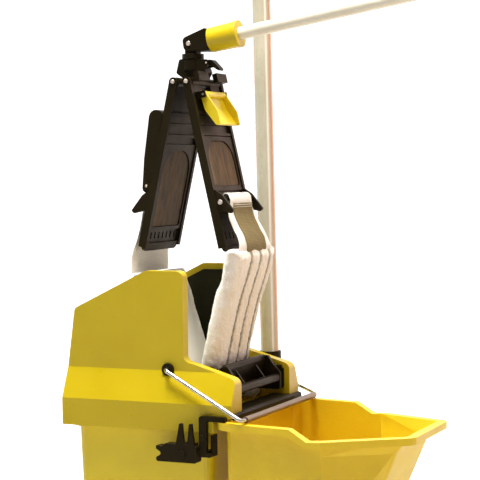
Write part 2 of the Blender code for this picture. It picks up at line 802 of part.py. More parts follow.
def wing_frame(side):
    """A wing's plan (across, along): its plate, rails, fins, ribs and the recess's surround."""
    plate_plan = rounded(
        [
            (-WING_HALF + 0.008, 0.012, 0.006),
            (WING_HALF - 0.008, 0.012, 0.006),
            (WING_HALF, 0.045, 0.010),
            (WING_HALF, WING_LENGTH, 0.010),
            (-WING_HALF, WING_LENGTH, 0.010),
            (-WING_HALF, 0.045, 0.010),
        ],
        4,
    )
    word = "left" if side < 0 else "right"
    plate = slab(f"wing_{word}", [plate_plan], -0.0015, 0.0015, "Z", BLACK)
    parts = []
    for edge in (-1, 1):
        low, high = sorted((edge * (WING_HALF - 0.0060), edge * (WING_HALF + 0.0004)))
        parts.append(box("rail", (low, 0.0, -0.0060), (high, WING_LENGTH - 0.006, 0.0060), BLACK))
        parts.append(rod("rail_end", (low - 0.0002, 0, 0), (high + 0.0002, 0, 0), 0.0062, BLACK, 18))
        fin = rounded(
            [
                (0.158, 0.004, 0),
                (0.170, 0.016, 0.010),
                (0.196, 0.029, 0.002),
                (0.199, 0.024, 0.002),
                (0.190, 0.004, 0),
            ],
            4,
        )
        fin_low, fin_high = sorted((edge * 0.0500, edge * 0.0545))
        blade = slab("fin", [fin], fin_low, fin_high, "X", BLACK)
        parts.append(blade)
    rib_half = WING_HALF - 0.003
    for along in (0.046, 0.062, 0.078, 0.160, WING_LENGTH - 0.010):
        inner = 0.0 if side < 0 and along == 0.160 else -0.0045
        low = (-rib_half, along - 0.002, inner)
        parts.append(box("rib", low, (rib_half, along + 0.002, 0.0045), BLACK))
    face, top, bottom = (1, 0.0815, 0.159) if side > 0 else (-1, 0.0905, 0.2185)
    corners = ((-0.0515, top), (0.0515, top), (0.0515, bottom), (-0.0515, bottom))
    edge = rounded([(*corner, 0.002) for corner in corners], 2)
    low, high = sorted((face * 0.0010, face * 0.0042))
    parts.append(slab("surround", [edge, wing_window(side)], low, high, "Z", BLACK))
    for edge in (-1, 1):
        low, high = sorted((edge * 0.046, edge * 0.012))
        parts.append(rod("barrel", (low, 0, 0), (high, 0, 0), 0.0065, BLACK, 18))
        parts.append(box("arm", (low + 0.002, 0.002, -0.0035), (high - 0.002, 0.020, 0.0035), BLACK))
        if side > 0:
            low, high = sorted((edge * 0.0485, edge * 0.0145))
            parts.append(box("ear", (low, -0.0110, 0.0105), (high, 0.0020, 0.0180), BLACK))
            low, high = sorted((edge * 0.0440, edge * 0.0380))
            parts.append(box("ear_web", (low, -0.0040, 0.0030), (high, 0.0010, 0.0120), BLACK))
            low, high = sorted((edge * 0.0354, edge * 0.0384))
            parts.append(box("pedal_lug", (low, 0.0165, 0.0010), (high, 0.0265, 0.0170), BLACK))
    if side < 0:
        for low in (-0.0525, -0.0265):
            parts.append(box("release_lug", (low, 0.151, 0.0010), (low + 0.003, 0.161, 0.0175), BLACK))
    join(plate, *parts)
    cut(plate, rod("pin_bore", (-0.07, 0, 0), (0.07, 0, 0), 0.0033, BLACK, 14))
    if side > 0:
        cut(plate, rod("pedal_bore", (-0.04, 0.0215, 0.0128), (0.04, 0.0215, 0.0128), 0.0023, BLACK, 12))
    else:
        cut(plate, rod("release_bore", (-0.054, 0.156, 0.0135), (-0.022, 0.156, 0.0135), 0.0023, BLACK, 12))
    for k in range(7):
        x = (k - 3) * 0.0125
        cut(plate, box("slot", (x - 0.002, 0.2225, -0.01), (x + 0.002, 0.2325, 0.01), BLACK))
    place_wing(plate, side)
    return plate


def wing_matrix(side):
    """From a wing's plan (across, along, out) to the world."""
    hinge = on_wing(side, 0, 0)
    run = on_wing(side, 1, 0) - hinge
    out = on_wing(side, 0, 1) - hinge
    return Matrix(
        (
            (0, run.x, out.x, hinge.x),
            (-side, 0, 0, 0),
            (0, run.y, out.y, hinge.y),
            (0, 0, 0, 1),
        )
    )


def place_wing(obj, side):
    obj.data.transform(wing_matrix(side))
    return smooth(obj, 30)


def wings():
    for side, word in ((-1, "left"), (1, "right")):
        wing_frame(side)
        low, high = (0.0018, 0.0026) if side > 0 else (-0.0026, -0.0018)
        window = wing_window(side, GAP)
        place_wing(slab(f"wing_panel_{word}", [window], low, high, "Z", BLACK), side)
        bar = rod(f"strap_bar_{word}", (-0.0496, 0.176, 0.013), (0.0496, 0.176, 0.013), 0.0035, BLACK, 16)
        place_wing(bar, side)
        strap(side, word)
        rivet = rod(f"fin_rivet_{word}", (0.0548, 0.180, 0.012), (0.0575, 0.180, 0.012), 0.0035, STEEL, 14)
        place_wing(rivet, side)
        x, z = on_wing(side, 0, 0)
        rod(f"wing_pin_{word}", (x, -0.0585, z), (x, 0.0585, z), 0.003, STEEL, 16)
    pedal()
    release_lever()


def strap(side, word):
    """The fabric band from the strap bar to the pad's end, as a plain solid."""
    band = rounded(
        [
            (-0.040, 0.1815, 0.002),
            (0.040, 0.1815, 0.002),
            (0.044, 0.214, 0.004),
            (0.074, 0.2485, 0.004),
            (-0.074, 0.2485, 0.004),
            (-0.044, 0.214, 0.004),
        ],
        3,
    )
    place_wing(slab(f"strap_{word}", [band], 0.0115, 0.0145, "Z", WEBBING), side)


def pedal():
    """The yellow foot pedal near the top of the right wing: a dished tongue with side walls."""
    tongue = rounded(
        [
            (0.0150, 0.0068, 0.001),
            (0.0190, 0.0068, 0.001),
            (0.0450, 0.0105, 0.010),
            (0.0700, 0.0225, 0.001),
            (0.0680, 0.0255, 0.001),
            (0.0430, 0.0140, 0.010),
            (0.0150, 0.0100, 0.001),
        ],
        3,
    )
    body = slab("foot_pedal", [tongue], -0.0335, 0.0335, "X", YELLOW)
    wall = rounded(
        [
            (0.0155, 0.0072, 0.001),
            (0.0445, 0.0100, 0.008),
            (0.0690, 0.0220, 0.002),
            (0.0700, 0.0290, 0.002),
            (0.0500, 0.0290, 0.010),
            (0.0160, 0.0150, 0.003),
        ],
        3,
    )
    for edge in (-1, 1):
        low, high = sorted((edge * 0.0320, edge * 0.0350))
        join(body, slab("wall", [wall], low, high, "X", YELLOW))
    boss = rod("boss", (-0.0322, 0.0215, 0.0128), (0.0322, 0.0215, 0.0128), 0.0042, YELLOW, 16)
    join(body, boss)
    cut(body, rod("bore", (-0.04, 0.0215, 0.0128), (0.04, 0.0215, 0.0128), 0.0023, YELLOW, 12))
    place_wing(body, 1)
    pin = rod("pedal_pin", (-0.0380, 0.0215, 0.0128), (0.0380, 0.0215, 0.0128), 0.0020, STEEL, 12)
    place_wing(pin, 1)


def release_lever():
    """The black release lever outside the left wing, its thumb end standing off the wing."""
    body = rounded(
        [
            (0.0440, 0.0105, 0.008),
            (0.0460, 0.0325, 0.011),
            (0.1180, 0.0270, 0.020),
            (0.1660, 0.0200, 0.006),
            (0.1660, 0.0068, 0.003),
            (0.1300, 0.0085, 0.004),
        ],
        4,
    )
    lever_body = slab("release_lever", [body], -0.0490, -0.0270, "X", BLACK)
    cut(lever_body, rod("bore", (-0.055, 0.156, 0.0135), (-0.02, 0.156, 0.0135), 0.0023, BLACK, 12))
    place_wing(lever_body, -1)
    pin = rod("release_pin", (-0.0530, 0.156, 0.0135), (-0.0230, 0.156, 0.0135), 0.0020, STEEL, 12)
    place_wing(pin, -1)


def mop_core():
    """The mop's middle: the block that the wings hang from, flaring from the knuckle's seat."""
    half = WING_HINGE_HALF
    block = rounded(
        [
            (MOP_X - half - 0.0062, 0.7490, 0.005),
            (MOP_X + half + 0.0062, 0.7490, 0.005),
            (MOP_X + half + 0.0062, 0.7625, 0.001),
            (0.0590, 0.7700, 0.003),
            (0.0510, 0.7900, 0.003),
            (0.0160, 0.7900, 0.003),
            (0.0110, 0.7700, 0.003),
            (MOP_X - half - 0.0062, 0.7625, 0.001),
        ],
        3,
    )
    core = slab("mop_core", [block], -0.0115, 0.0115, "Y", BLACK)
    join(core, rod("seat", (KNUCKLE_X, 0, 0.7740), (KNUCKLE_X, 0, 0.7895), 0.0150, BLACK, 28))
    for side in (-1, 1):
        x, z = MOP_X + side * half, WING_HINGE_Z
        cut(core, rod("pin_bore", (x, -0.02, z), (x, 0.02, z), 0.0033, BLACK, 14))
    lug = rounded(
        [
            (0.0480, 0.7765, 0),
            (0.0600, 0.7775, 0.002),
            (0.0625, 0.7830, 0.002),
            (0.0600, 0.7885, 0.002),
            (0.0480, 0.7885, 0),
        ],
        3,
    )
    for side in (-1, 1):
        low, high = sorted((side * 0.0074, side * 0.0110))
        join(core, slab("lug", [lug], low, high, "Y", BLACK))
    cut(core, rod("latch_bore", (0.0590, -0.02, 0.7835), (0.0590, 0.02, 0.7835), 0.0018, BLACK, 12))
    smooth(core)
    tongue = rounded(
        [
            (0.0562, 0.7800, 0.001),
            (0.0640, 0.7795, 0.002),
            (0.0775, 0.7715, 0.001),
            (0.0790, 0.7745, 0.001),
            (0.0660, 0.7880, 0.004),
            (0.0560, 0.7880, 0.002),
        ],
        3,
    )
    hole = circle(0.0590, 0.7835, 0.0018, 12)
    smooth(slab("neck_latch", [tongue, hole], -0.0070, 0.0070, "Y", BLACK))
    rod("latch_pin", (0.0590, -0.0115, 0.7835), (0.0590, 0.0115, 0.7835), 0.0015, STEEL, 12)


def knuckle():
    """Universal joint: a swivel yoke on the neck, and the fork that carries the handle."""
    base = rod("swivel_yoke", (KNUCKLE_X, 0, 0.790 + GAP), (KNUCKLE_X, 0, 0.7975), 0.0160, BLACK, 28)
    eye = rounded(
        [
            (KNUCKLE_X - 0.0095, 0.7960, 0),
            (KNUCKLE_X + 0.0095, 0.7960, 0),
            (KNUCKLE_X + 0.0095, 0.8215, 0.009),
            (KNUCKLE_X - 0.0095, 0.8215, 0.009),
        ],
        5,
    )
    join(base, slab("eye", [eye], -0.0075, 0.0075, "Y", BLACK))
    cut(base, rod("bore", (KNUCKLE_X, -0.02, KNUCKLE_Z), (KNUCKLE_X, 0.02, KNUCKLE_Z), 0.0038, BLACK, 16))
    smooth(base)
    rod("knuckle_pin", (KNUCKLE_X, -0.0165, KNUCKLE_Z), (KNUCKLE_X, 0.0165, KNUCKLE_Z), 0.0035, STEEL, 16)


def handle():
    """Fork, yellow collar, tube and end grip, along the handle's own axis."""
    pivot = bpy.data.objects.new("handle_axis", None)
    PARTS.objects.link(pivot)
    pivot.location = (KNUCKLE_X, 0, KNUCKLE_Z)
    pivot.rotation_euler = (0, -HANDLE_SLOPE, 0)
    tine = rounded(
        [
            (-0.0090, -0.0095, 0.007),
            (0.010, -0.0125, 0.002),
            (0.030, -0.0170, 0.002),
            (0.030, 0.0175, 0.002),
            (0.010, 0.0135, 0.002),
            (-0.0090, 0.0095, 0.007),
        ],
        4,
    )
    fork = slab("handle_fork", [tine], -0.0150, 0.0150, "Y", BLACK)
    join(fork, rod("spigot", (0.0235, 0, 0), (0.0595, 0, 0), 0.0072, BLACK, 20))
    cut(fork, box("throat", (-0.012, -0.0080, -0.02), (0.0172, 0.0080, 0.02), BLACK))
    cut(fork, rod("bore", (0, -0.02, 0), (0, 0.02, 0), 0.0038, BLACK, 16))
    smooth(fork)
    collar = rod("handle_collar", (0.0303, 0, 0), (0.0755, 0, 0), 0.0182, YELLOW, 32, 0.0190)
    join(collar, rod("lip", (0.0720, 0, 0), (0.0770, 0, 0), 0.0198, YELLOW, 32))
    cut(
        collar,
        rod("spigot_bore", (0.025, 0, 0), (0.060, 0, 0), 0.0075, YELLOW, 20),
        rod("tube_bore", (0.0618, 0, 0), (0.085, 0, 0), HANDLE_R + GAP, YELLOW, 24),
    )
    smooth(collar)
    tube_between("handle_tube", (0.0625, 0, 0), (HANDLE_END - 0.006, 0, 0), HANDLE_R, 0.0083, TUBE, 24)
    grip = rod("handle_grip", (HANDLE_END - 0.150, 0, 0), (HANDLE_END, 0, 0), 0.0125, BLACK, 24)
    bore_ends = (HANDLE_END - 0.16, 0, 0), (HANDLE_END - 0.0055, 0, 0)
    cut(grip, rod("bore", *bore_ends, HANDLE_R + GAP, BLACK, 24))
    for name in ("handle_fork", "handle_collar", "handle_tube", "handle_grip"):
        bpy.data.objects[name].parent = pivot


def pads():
    """The two halves of the pad, hanging from the wings' ends to the fold in the wringer."""
    for side, word in ((-1, "left"), (1, "right")):
        top = on_wing(side, WING_LENGTH + 0.004, PAD_OFFSET)
        run = Vector((-side * math.sin(PAD_ANGLE), -math.cos(PAD_ANGLE)))
        out = Vector((side * math.cos(PAD_ANGLE), -math.sin(PAD_ANGLE)))
        half = PAD_THICK / 2
        corners = [
            (top + out * -half, 0.004),
            (top + out * half, 0.004),
            (top + run * PAD_LENGTH + out * half, 0.004),
            (top + run * PAD_LENGTH + out * -half, 0.004),
        ]
        outline = rounded([(*p, r) for p, r in corners], 3)
        slab(f"pad_{word}", [outline], -PAD_HALF, PAD_HALF, "Y", MICROFIBRE)


rear_bucket()
front_bucket()
brackets()
handle_clip()
wringer_housing()
liners()
rear_jaw()
front_sill()
bushes()
bail()
lever()
jaw()
wings()
mop_core()
knuckle()
handle()
pads()
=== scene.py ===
"""Looks for the mop and bucket with wringer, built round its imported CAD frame."""

import math

import bpy
import numpy as np
from mathutils import Matrix, Vector, noise


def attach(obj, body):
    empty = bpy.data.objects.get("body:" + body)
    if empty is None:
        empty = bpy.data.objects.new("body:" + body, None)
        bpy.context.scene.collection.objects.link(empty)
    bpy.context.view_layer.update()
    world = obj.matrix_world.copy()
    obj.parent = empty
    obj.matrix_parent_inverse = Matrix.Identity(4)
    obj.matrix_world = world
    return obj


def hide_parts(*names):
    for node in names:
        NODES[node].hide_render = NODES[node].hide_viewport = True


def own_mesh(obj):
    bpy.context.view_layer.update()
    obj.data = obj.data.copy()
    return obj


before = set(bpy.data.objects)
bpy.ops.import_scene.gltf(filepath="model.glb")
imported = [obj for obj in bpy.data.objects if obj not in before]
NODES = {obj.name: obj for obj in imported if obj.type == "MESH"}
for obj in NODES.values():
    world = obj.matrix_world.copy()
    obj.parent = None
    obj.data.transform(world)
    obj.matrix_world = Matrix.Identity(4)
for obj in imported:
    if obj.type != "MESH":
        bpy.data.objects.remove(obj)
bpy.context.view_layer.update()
SCENE = bpy.context.scene

# The mop's wings and pads, in metres, as in the CAD source.
MOP_X = 0.038
HINGE_HALF = 0.0105
HINGE_Z = 0.755
WING_ANGLE = math.radians(12.7)
PAD_ANGLE = math.radians(16.4)
PAD_TOP = (0.254, 0.014)  # along the wing, and out from it
PAD_LENGTH = 0.238
PAD_HALF = 0.080
PAD_THICK = 0.012
STRIPES = (-0.018, 0.014, 0.047)  # across the pad

# The pad's cloth simulation.
SWELL_VOXEL = 0.004
SWELL_PRESSURE = 4.0
SWELL_FRAMES = 20
SWELL_LIMIT = 0.006

# The camera, in degrees, millimetres of lens and metres.
CAMERA_TURN = 24.09
CAMERA_TILT = 2.48
CAMERA_ROLL = -0.68
CAMERA_LENS = 117.17
CAMERA_TARGET = (0.1049, 0, 0.5258)
CAMERA_DISTANCE = 2.269


# ---------------------------------------------------------------- materials
class Shader:
    """A material with a Principled BSDF, and short calls for the nodes that feed it."""

    def __init__(self, name, colour, roughness, metallic=0.0, **sockets):
        self.material = bpy.data.materials.new(name)
        self.material.use_nodes = True
        self.tree = self.material.node_tree
        self.bsdf = self.tree.nodes["Principled BSDF"]
        self.material.diffuse_color = (*colour, 1)
        self.bsdf.inputs["Base Color"].default_value = (*colour, 1)
        self.bsdf.inputs["Roughness"].default_value = roughness
        self.bsdf.inputs["Metallic"].default_value = metallic
        for key, value in sockets.items():
            self.bsdf.inputs[key.replace("_", " ")].default_value = value
        self.place = self.node("TexCoord").outputs["Object"]
        self.normal = None

    def node(self, kind, **inputs):
        node = self.tree.nodes.new(f"ShaderNode{kind}")
        for key, value in inputs.items():
            self.feed(node.inputs[key.replace("_", " ")], value)
        return node

    def feed(self, socket, value):
        if isinstance(value, bpy.types.NodeSocket):
            self.tree.links.new(value, socket)
        else:
            socket.default_value = value

    def stretched(self, scale):
        mapping = self.node("Mapping", Vector=self.place)
        mapping.inputs["Scale"].default_value = scale
        return mapping.outputs["Vector"]

    def noise(self, scale, detail=3.0, roughness=0.55, stretch=None, distortion=0.0):
        where = self.stretched(stretch) if stretch else self.place
        node = self.node(
            "TexNoise",
            Vector=where,
            Scale=scale,
            Detail=detail,
            Roughness=roughness,
            Distortion=distortion,
        )
        return node.outputs["Fac"]

    def ramp(self, value, low, high, start=0.0, end=1.0):
        """value mapped from low..high to start..end, clamped."""
        node = self.node("MapRange", Value=value)
        node.inputs["From Min"].default_value = low
        node.inputs["From Max"].default_value = high
        node.inputs["To Min"].default_value = start
        node.inputs["To Max"].default_value = end
        return node.outputs["Result"]

    def math(self, operation, first, second=0.0):
        node = self.tree.nodes.new("ShaderNodeMath")
        node.operation = operation
        self.feed(node.inputs[0], first)
        self.feed(node.inputs[1], second)
        return node.outputs[0]

    def mix(self, factor, first, second):
        node = self.tree.nodes.new("ShaderNodeMix")
        node.data_type = "RGBA"
        self.feed(node.inputs["Factor"], factor)
        for socket, value in ((node.inputs[6], first), (node.inputs[7], second)):
            self.feed(socket, value if isinstance(value, bpy.types.NodeSocket) else (*value, 1))
        return node.outputs[2]

    def attribute(self, name):
        node = self.tree.nodes.new("ShaderNodeAttribute")
        node.attribute_name = name
        return node.outputs["Fac"]

    def colour(self, value):
        self.feed(self.bsdf.inputs["Base Color"], value)

    def roughness(self, value):
        self.feed(self.bsdf.inputs["Roughness"], value)

    def bump(self, height, distance, strength=1.0):
        node = self.node("Bump", Height=height)
        node.inputs["Distance"].default_value = distance
        node.inputs["Strength"].default_value = strength
        if self.normal:
            self.feed(node.inputs["Normal"], self.normal)
        self.normal = node.outputs["Normal"]
        self.feed(self.bsdf.inputs["Normal"], self.normal)


def moulded(name, base, shade, rough, grain, depth, worn, **sockets):
    """Moulded plastic: fine grain, cloudy colour, and faint scuffs."""
    s = Shader(name, base, rough, **sockets)
    cloud = s.noise(9.0, 4.0, 0.6)
    tone = s.mix(s.ramp(cloud, 0.35, 0.7), shade, base)
    scuff = s.noise(60.0, 6.0, 0.7, stretch=(1.0, 1.0, 0.12))
    tone = s.mix(s.ramp(scuff, 0.62, 0.78, 0.0, 0.16), tone, worn)
    s.colour(tone)
    s.roughness(s.ramp(s.noise(35.0, 5.0, 0.65), 0.3, 0.75, rough - 0.07, rough + 0.10))
    s.bump(s.noise(grain, 2.0, 0.5), depth, 0.5)
    return s


def yellow_housing():
    base, shade, worn = (0.60, 0.45, 0.009), (0.55, 0.405, 0.006), (0.84, 0.70, 0.04)
    gloss = {"Coat_Weight": 0.06, "Coat_Roughness": 0.15, "Specular_IOR_Level": 0.32}
    return moulded("yellow_moulding", base, shade, 0.33, 900, 0.00020, worn, **gloss).material


def orange_bucket():
    base, shade, worn = (0.87, 0.635, 0.012), (0.79, 0.55, 0.008), (0.95, 0.76, 0.05)
    s = moulded("orange_yellow_moulding", base, shade, 0.42, 420, 0.0006, worn)
    s.bump(s.noise(160, 3.0, 0.6), 0.0004, 0.35)
    return s.material


def lemon_bucket():
    base, shade, worn = (0.84, 0.65, 0.014), (0.76, 0.57, 0.009), (0.90, 0.78, 0.06)
    return moulded("lemon_moulding", base, shade, 0.36, 520, 0.0004, worn).material


def black_moulding():
    base, shade, worn = (0.019, 0.014, 0.006), (0.012, 0.009, 0.004), (0.060, 0.046, 0.024)
    gloss = {"Specular_IOR_Level": 0.11, "Specular_Tint": (1.0, 0.84, 0.58, 1.0)}
    return moulded("black_moulding", base, shade, 0.42, 700, 0.0003, worn, **gloss).material


def liner_moulding():
    base, shade, worn = (0.018, 0.018, 0.008), (0.011, 0.011, 0.005), (0.05, 0.05, 0.02)
    gloss = {"Specular_IOR_Level": 0.25, "Specular_Tint": (1.0, 0.92, 0.62, 1.0)}
    return moulded("liner_moulding", base, shade, 0.36, 500, 0.0003, worn, **gloss).material


def brown_panel():
    """Brown-grey recess with long streaks and dark flecks down it; its brown is painted warm
    light on dark plastic.
    """
    s = Shader("panel_painted_warm_light", (0.10, 0.07, 0.05), 0.62, Specular_IOR_Level=0.12)
    streak = s.noise(34.0, 5.0, 0.62, stretch=(3.0, 3.0, 0.16), distortion=0.3)
    fine = s.noise(150.0, 3.0, 0.5, stretch=(2.0, 2.0, 0.10))
    # The brown tones are painted warm light on dark plastic; the streaks and flecks vary them.
    tone = s.mix(s.ramp(streak, 0.34, 0.66), (0.052, 0.033, 0.015), (0.175, 0.112, 0.058))
    tone = s.mix(s.ramp(fine, 0.55, 0.75, 0.0, 0.5), tone, (0.038, 0.027, 0.018))
    s.colour(tone)
    s.roughness(s.ramp(streak, 0.3, 0.7, 0.50, 0.72))
    s.bump(streak, 0.0008, 0.6)
    return s.material


def coated_tube(name, low, high, painted_light=False):
    """Paint-coated tube, its scratches running along it; the lever's version has its flanks
    painted pink as warm reflected light, and a pale painted highlight stripe, by which way the
    surface faces.
    """
    s = Shader(name, low, 0.26, Coat_Weight=0.3, Coat_Roughness=0.15)
    blotch = s.noise(14.0, 4.0, 0.6)
    tone = s.mix(s.ramp(blotch, 0.35, 0.7), low, high)
    if painted_light:
        # Painted light: pink on the flanks facing this way and the opposite way is painted warm
        # reflection; the pale stripe between them is a painted highlight.
        across = s.node("VectorMath", Vector=s.node("TexCoord").outputs["Normal"])
        across.operation = "DOT_PRODUCT"
        across.inputs[1].default_value = (0.913, 0.408, 0)
        turn = across.outputs["Value"]
        tone = s.mix(s.ramp(turn, 0.55, 0.72), tone, (0.60, 0.36, 0.235))
        tone = s.mix(s.ramp(turn, -0.86, -0.94), tone, (0.60, 0.38, 0.26))
        stripe = s.math("MULTIPLY", s.ramp(turn, 0.20, 0.30), s.ramp(turn, 0.52, 0.42))
        tone = s.mix(stripe, tone, (0.80, 0.78, 0.70))
    scratch = s.noise(220.0, 5.0, 0.7, stretch=(0.06, 1.0, 0.06))
    tone = s.mix(s.ramp(scratch, 0.66, 0.78, 0.0, 0.30), tone, (0.36, 0.33, 0.27))
    s.colour(tone)
    s.roughness(s.ramp(scratch, 0.4, 0.8, 0.22, 0.42))
    s.bump(s.noise(260.0, 2.0), 0.00010, 0.4)
    return s.material


def steel():
    s = Shader("drawn_steel", (0.62, 0.61, 0.58), 0.25, 1.0)
    line = s.noise(500.0, 4.0, 0.6, stretch=(0.05, 1.0, 0.05))
    tone = s.mix(s.ramp(line, 0.35, 0.7), (0.50, 0.49, 0.46), (0.74, 0.73, 0.70))
    dull = s.noise(40.0, 4.0, 0.6)
    s.colour(s.mix(s.ramp(dull, 0.56, 0.72, 0.0, 0.5), tone, (0.42, 0.38, 0.32)))
    s.roughness(s.ramp(dull, 0.3, 0.75, 0.18, 0.42))
    s.bump(line, 0.00008, 0.4)
    return s.material


def rivet_steel():
    s = Shader("rivet_steel", (0.75, 0.66, 0.60), 0.32, 0.55)
    dull = s.noise(300.0, 4.0, 0.6)
    s.colour(s.mix(s.ramp(dull, 0.35, 0.7), (0.66, 0.55, 0.48), (0.84, 0.76, 0.70)))
    s.roughness(s.ramp(dull, 0.3, 0.7, 0.25, 0.45))
    s.bump(dull, 0.0001, 0.4)
    return s.material


def terry():
    """Looped microfibre; mesh attributes say where its stripes and its plain backing are."""
    sheen = {"Sheen_Weight": 0.55, "Sheen_Roughness": 0.5}
    s = Shader("looped_microfibre", (0.80, 0.66, 0.52), 0.95, **sheen)
    patch = s.noise(55.0, 4.0, 0.6)
    tone = s.mix(s.ramp(patch, 0.3, 0.7), (0.94, 0.84, 0.72), (0.99, 0.96, 0.91))
    loops = s.node("TexVoronoi", Vector=s.place, Scale=620.0).outputs["Distance"]
    tone = s.mix(s.ramp(loops, 0.35, 0.85, 0.0, 0.35), tone, (0.72, 0.58, 0.44))
    fade = s.ramp(s.noise(240.0, 4.0, 0.7), 0.30, 0.62, 0.55, 1.0)
    stripe = s.math("MULTIPLY", s.attribute("stripe"), fade)
    tone = s.mix(stripe, tone, (0.24, 0.22, 0.16))
    tone = s.mix(s.attribute("backing"), tone, (0.99, 0.96, 0.86))
    s.colour(tone)
    s.bump(loops, 0.0007, 0.8)
    s.bump(s.noise(300.0, 4.0, 0.7), 0.0008, 0.7)
    return s.material


def woven(name, base, shade, sheen=0.3):
    """A plain woven band: warp and weft from two waves across each other."""
    s = Shader(name, base, 0.85, Sheen_Weight=sheen, Sheen_Roughness=0.5)
    waves = []
    for axis in ("Y", "Z"):
        wave = s.node("TexWave", Vector=s.place, Scale=150.0, Distortion=0.4)
        wave.bands_direction = axis
        waves.append(wave.outputs["Fac"])
    weave = s.math("MULTIPLY", waves[0], waves[1])
    dirt = s.noise(45.0, 5.0, 0.65)
    tone = s.mix(s.ramp(weave, 0.1, 0.7), shade, base)
    tone = s.mix(s.ramp(dirt, 0.5, 0.8, 0.0, 0.4), tone, shade)
    s.colour(tone)
    s.bump(weave, 0.0004, 0.7)
    return s.material


def brown_sleeve():
    """The bail's worn brown-grey tube sleeve."""
    s = Shader("worn_sleeve", (0.22, 0.15, 0.10), 0.34)
    rub = s.noise(90.0, 5.0, 0.65, stretch=(1.0, 0.2, 1.0))
    tone = s.mix(s.ramp(rub, 0.35, 0.70), (0.10, 0.066, 0.042), (0.215, 0.155, 0.105))
    s.colour(tone)
    s.roughness(s.ramp(rub, 0.3, 0.7, 0.26, 0.45))
    s.bump(rub, 0.0003, 0.5)
    return s.material


YELLOW = yellow_housing()
ORANGE = orange_bucket()
LEMON = lemon_bucket()
BLACK = black_moulding()
LINER = liner_moulding()
PANEL = brown_panel()
TUBE = coated_tube("cream_coating", (0.72, 0.66, 0.53), (0.82, 0.77, 0.64))
# The lever's coating is the handle's cream made darker as painted shade, plus painted reflection
# and highlight on its flanks.
LEVER = coated_tube("lever_coating_painted_light", (0.50, 0.47, 0.36), (0.59, 0.56, 0.44), True)
STEEL = steel()
RIVET = rivet_steel()
TERRY = terry()
SLEEVE = brown_sleeve()
WHITE_BAND = woven("white_webbing", (0.96, 0.95, 0.91), (0.84, 0.80, 0.72))
# Khaki stands in for the white webbing in shade: painted shade.
PAINTED_SHADE_BAND = woven("painted_shade_webbing", (0.245, 0.180, 0.052), (0.170, 0.122, 0.034), 0.05)


# ---------------------------------------------------------------- CAD nodes
def finish_node(name, material, width, segments, angle):
    """A CAD node's material, with its edges rounded by modifiers."""
    obj = NODES[name]
    obj.data.materials.clear()
    obj.data.materials.append(material)
    for polygon in obj.data.polygons:
        polygon.use_smooth = True
    weld = obj.modifiers.new("weld", "WELD")
    weld.merge_threshold = 0.00001
    flat = obj.modifiers.new("flat", "DECIMATE")
    flat.decimate_type = "DISSOLVE"
    flat.angle_limit = math.radians(0.6)
    if width:
        bevel = obj.modifiers.new("bevel", "BEVEL")
        bevel.width = width
        bevel.segments = segments
        bevel.limit_method = "ANGLE"
        bevel.angle_limit = math.radians(angle)
        bevel.use_clamp_overlap = True
    shade = obj.modifiers.new("shade", "WEIGHTED_NORMAL")
    shade.keep_sharp = True


# Width, segments and least angle of the rounded edges; the housing's are left as packed.
USUAL_EDGES = (0.0007, 2, 32)
EDGES = {
    "wringer_housing": (0.0, 0, 0),
    "rear_bucket": (0.0012, 2, 14),
    "front_bucket": (0.0016, 2, 14),
}
SPECIAL = {
    "wringer_housing": YELLOW,
    "handle_collar": YELLOW,
    "foot_pedal": LEMON,
    "front_bucket": ORANGE,
    "rear_bucket": LEMON,
    "liner_near": LINER,
    "liner_far": LINER,
    "wing_panel_left": PANEL,
    "wing_panel_right": PANEL,
    "lever_tube": LEVER,
    "handle_tube": TUBE,
    "bail_wire": STEEL,
    "bail_grip": SLEEVE,
    "press_shaft": STEEL,
    "crank_arm_near": STEEL,
    "crank_arm_far": STEEL,
    "clip_screw": BLACK,
    "bracket_screw_near": BLACK,
    "bracket_screw_far": BLACK,
}
for name in sorted(NODES):
    material = SPECIAL.get(name)
    if material is None:
        small = any(word in name for word in ("screw", "rivet", "_pin"))
        material = RIVET if small else BLACK
    finish_node(name, material, *EDGES.get(name, USUAL_EDGES))


# ---------------------------------------------------------------- helpers
def on_wing(side, along, out):
    """The place this far along a wing from its hinge, and out from its middle plane."""
    x = MOP_X + side * HINGE_HALF
    x += side * math.sin(WING_ANGLE) * along + side * math.cos(WING_ANGLE) * out
    z = HINGE_Z - math.cos(WING_ANGLE) * along + math.sin(WING_ANGLE) * out
    return Vector((x, 0, z))


def mesh_object(name, verts, faces, material):
    mesh = bpy.data.meshes.new(name)
    mesh.from_pydata([tuple(v) for v in verts], [], faces)
    mesh.materials.append(material)
    for polygon in mesh.polygons:
        polygon.use_smooth = True
    obj = bpy.data.objects.new(name, mesh)
    SCENE.collection.objects.link(obj)
    return obj


def apply_modifiers(obj):
    """Replaces the object's mesh by its modifiers' result."""
    graph = bpy.context.evaluated_depsgraph_get()
    mesh = bpy.data.meshes.new_from_object(obj.evaluated_get(graph))
    obj.modifiers.clear()
    obj.data = mesh
    return obj


# ---------------------------------------------------------------- pads
class Pad:
    """One half of the folded pad: its own axes, from its top at the wing to its fold."""

    def __init__(self, side):
        self.side = side
        self.top = on_wing(side, *PAD_TOP)
        self.run = Vector((-side * math.sin(PAD_ANGLE), 0, -math.cos(PAD_ANGLE)))
        self.out = Vector((side * math.cos(PAD_ANGLE), 0, -math.sin(PAD_ANGLE)))

    def point(self, across, along, out):
        return self.top + Vector((0, across, 0)) + self.run * along + self.out * out


def lobes(across):
    """0 in a stripe's groove, 1 on top of a lobe."""
    edges = (-PAD_HALF, *STRIPES, PAD_HALF)
    for low, high in zip(edges, edges[1:]):
        if low <= across <= high:
            t = (across - low) / (high - low)
            return math.sin(math.pi * t) ** 0.55
    return 0.0


def stripe_share(across, along):
    """How much of the grey stripe shows at this place."""
    wander = 0.0016 * noise.noise(Vector((along * 30, across * 9, 3.1)))
    near = min(abs(across - s - wander) for s in STRIPES)
    return max(0.0, min(1.0, (0.0046 - near) / 0.0020))


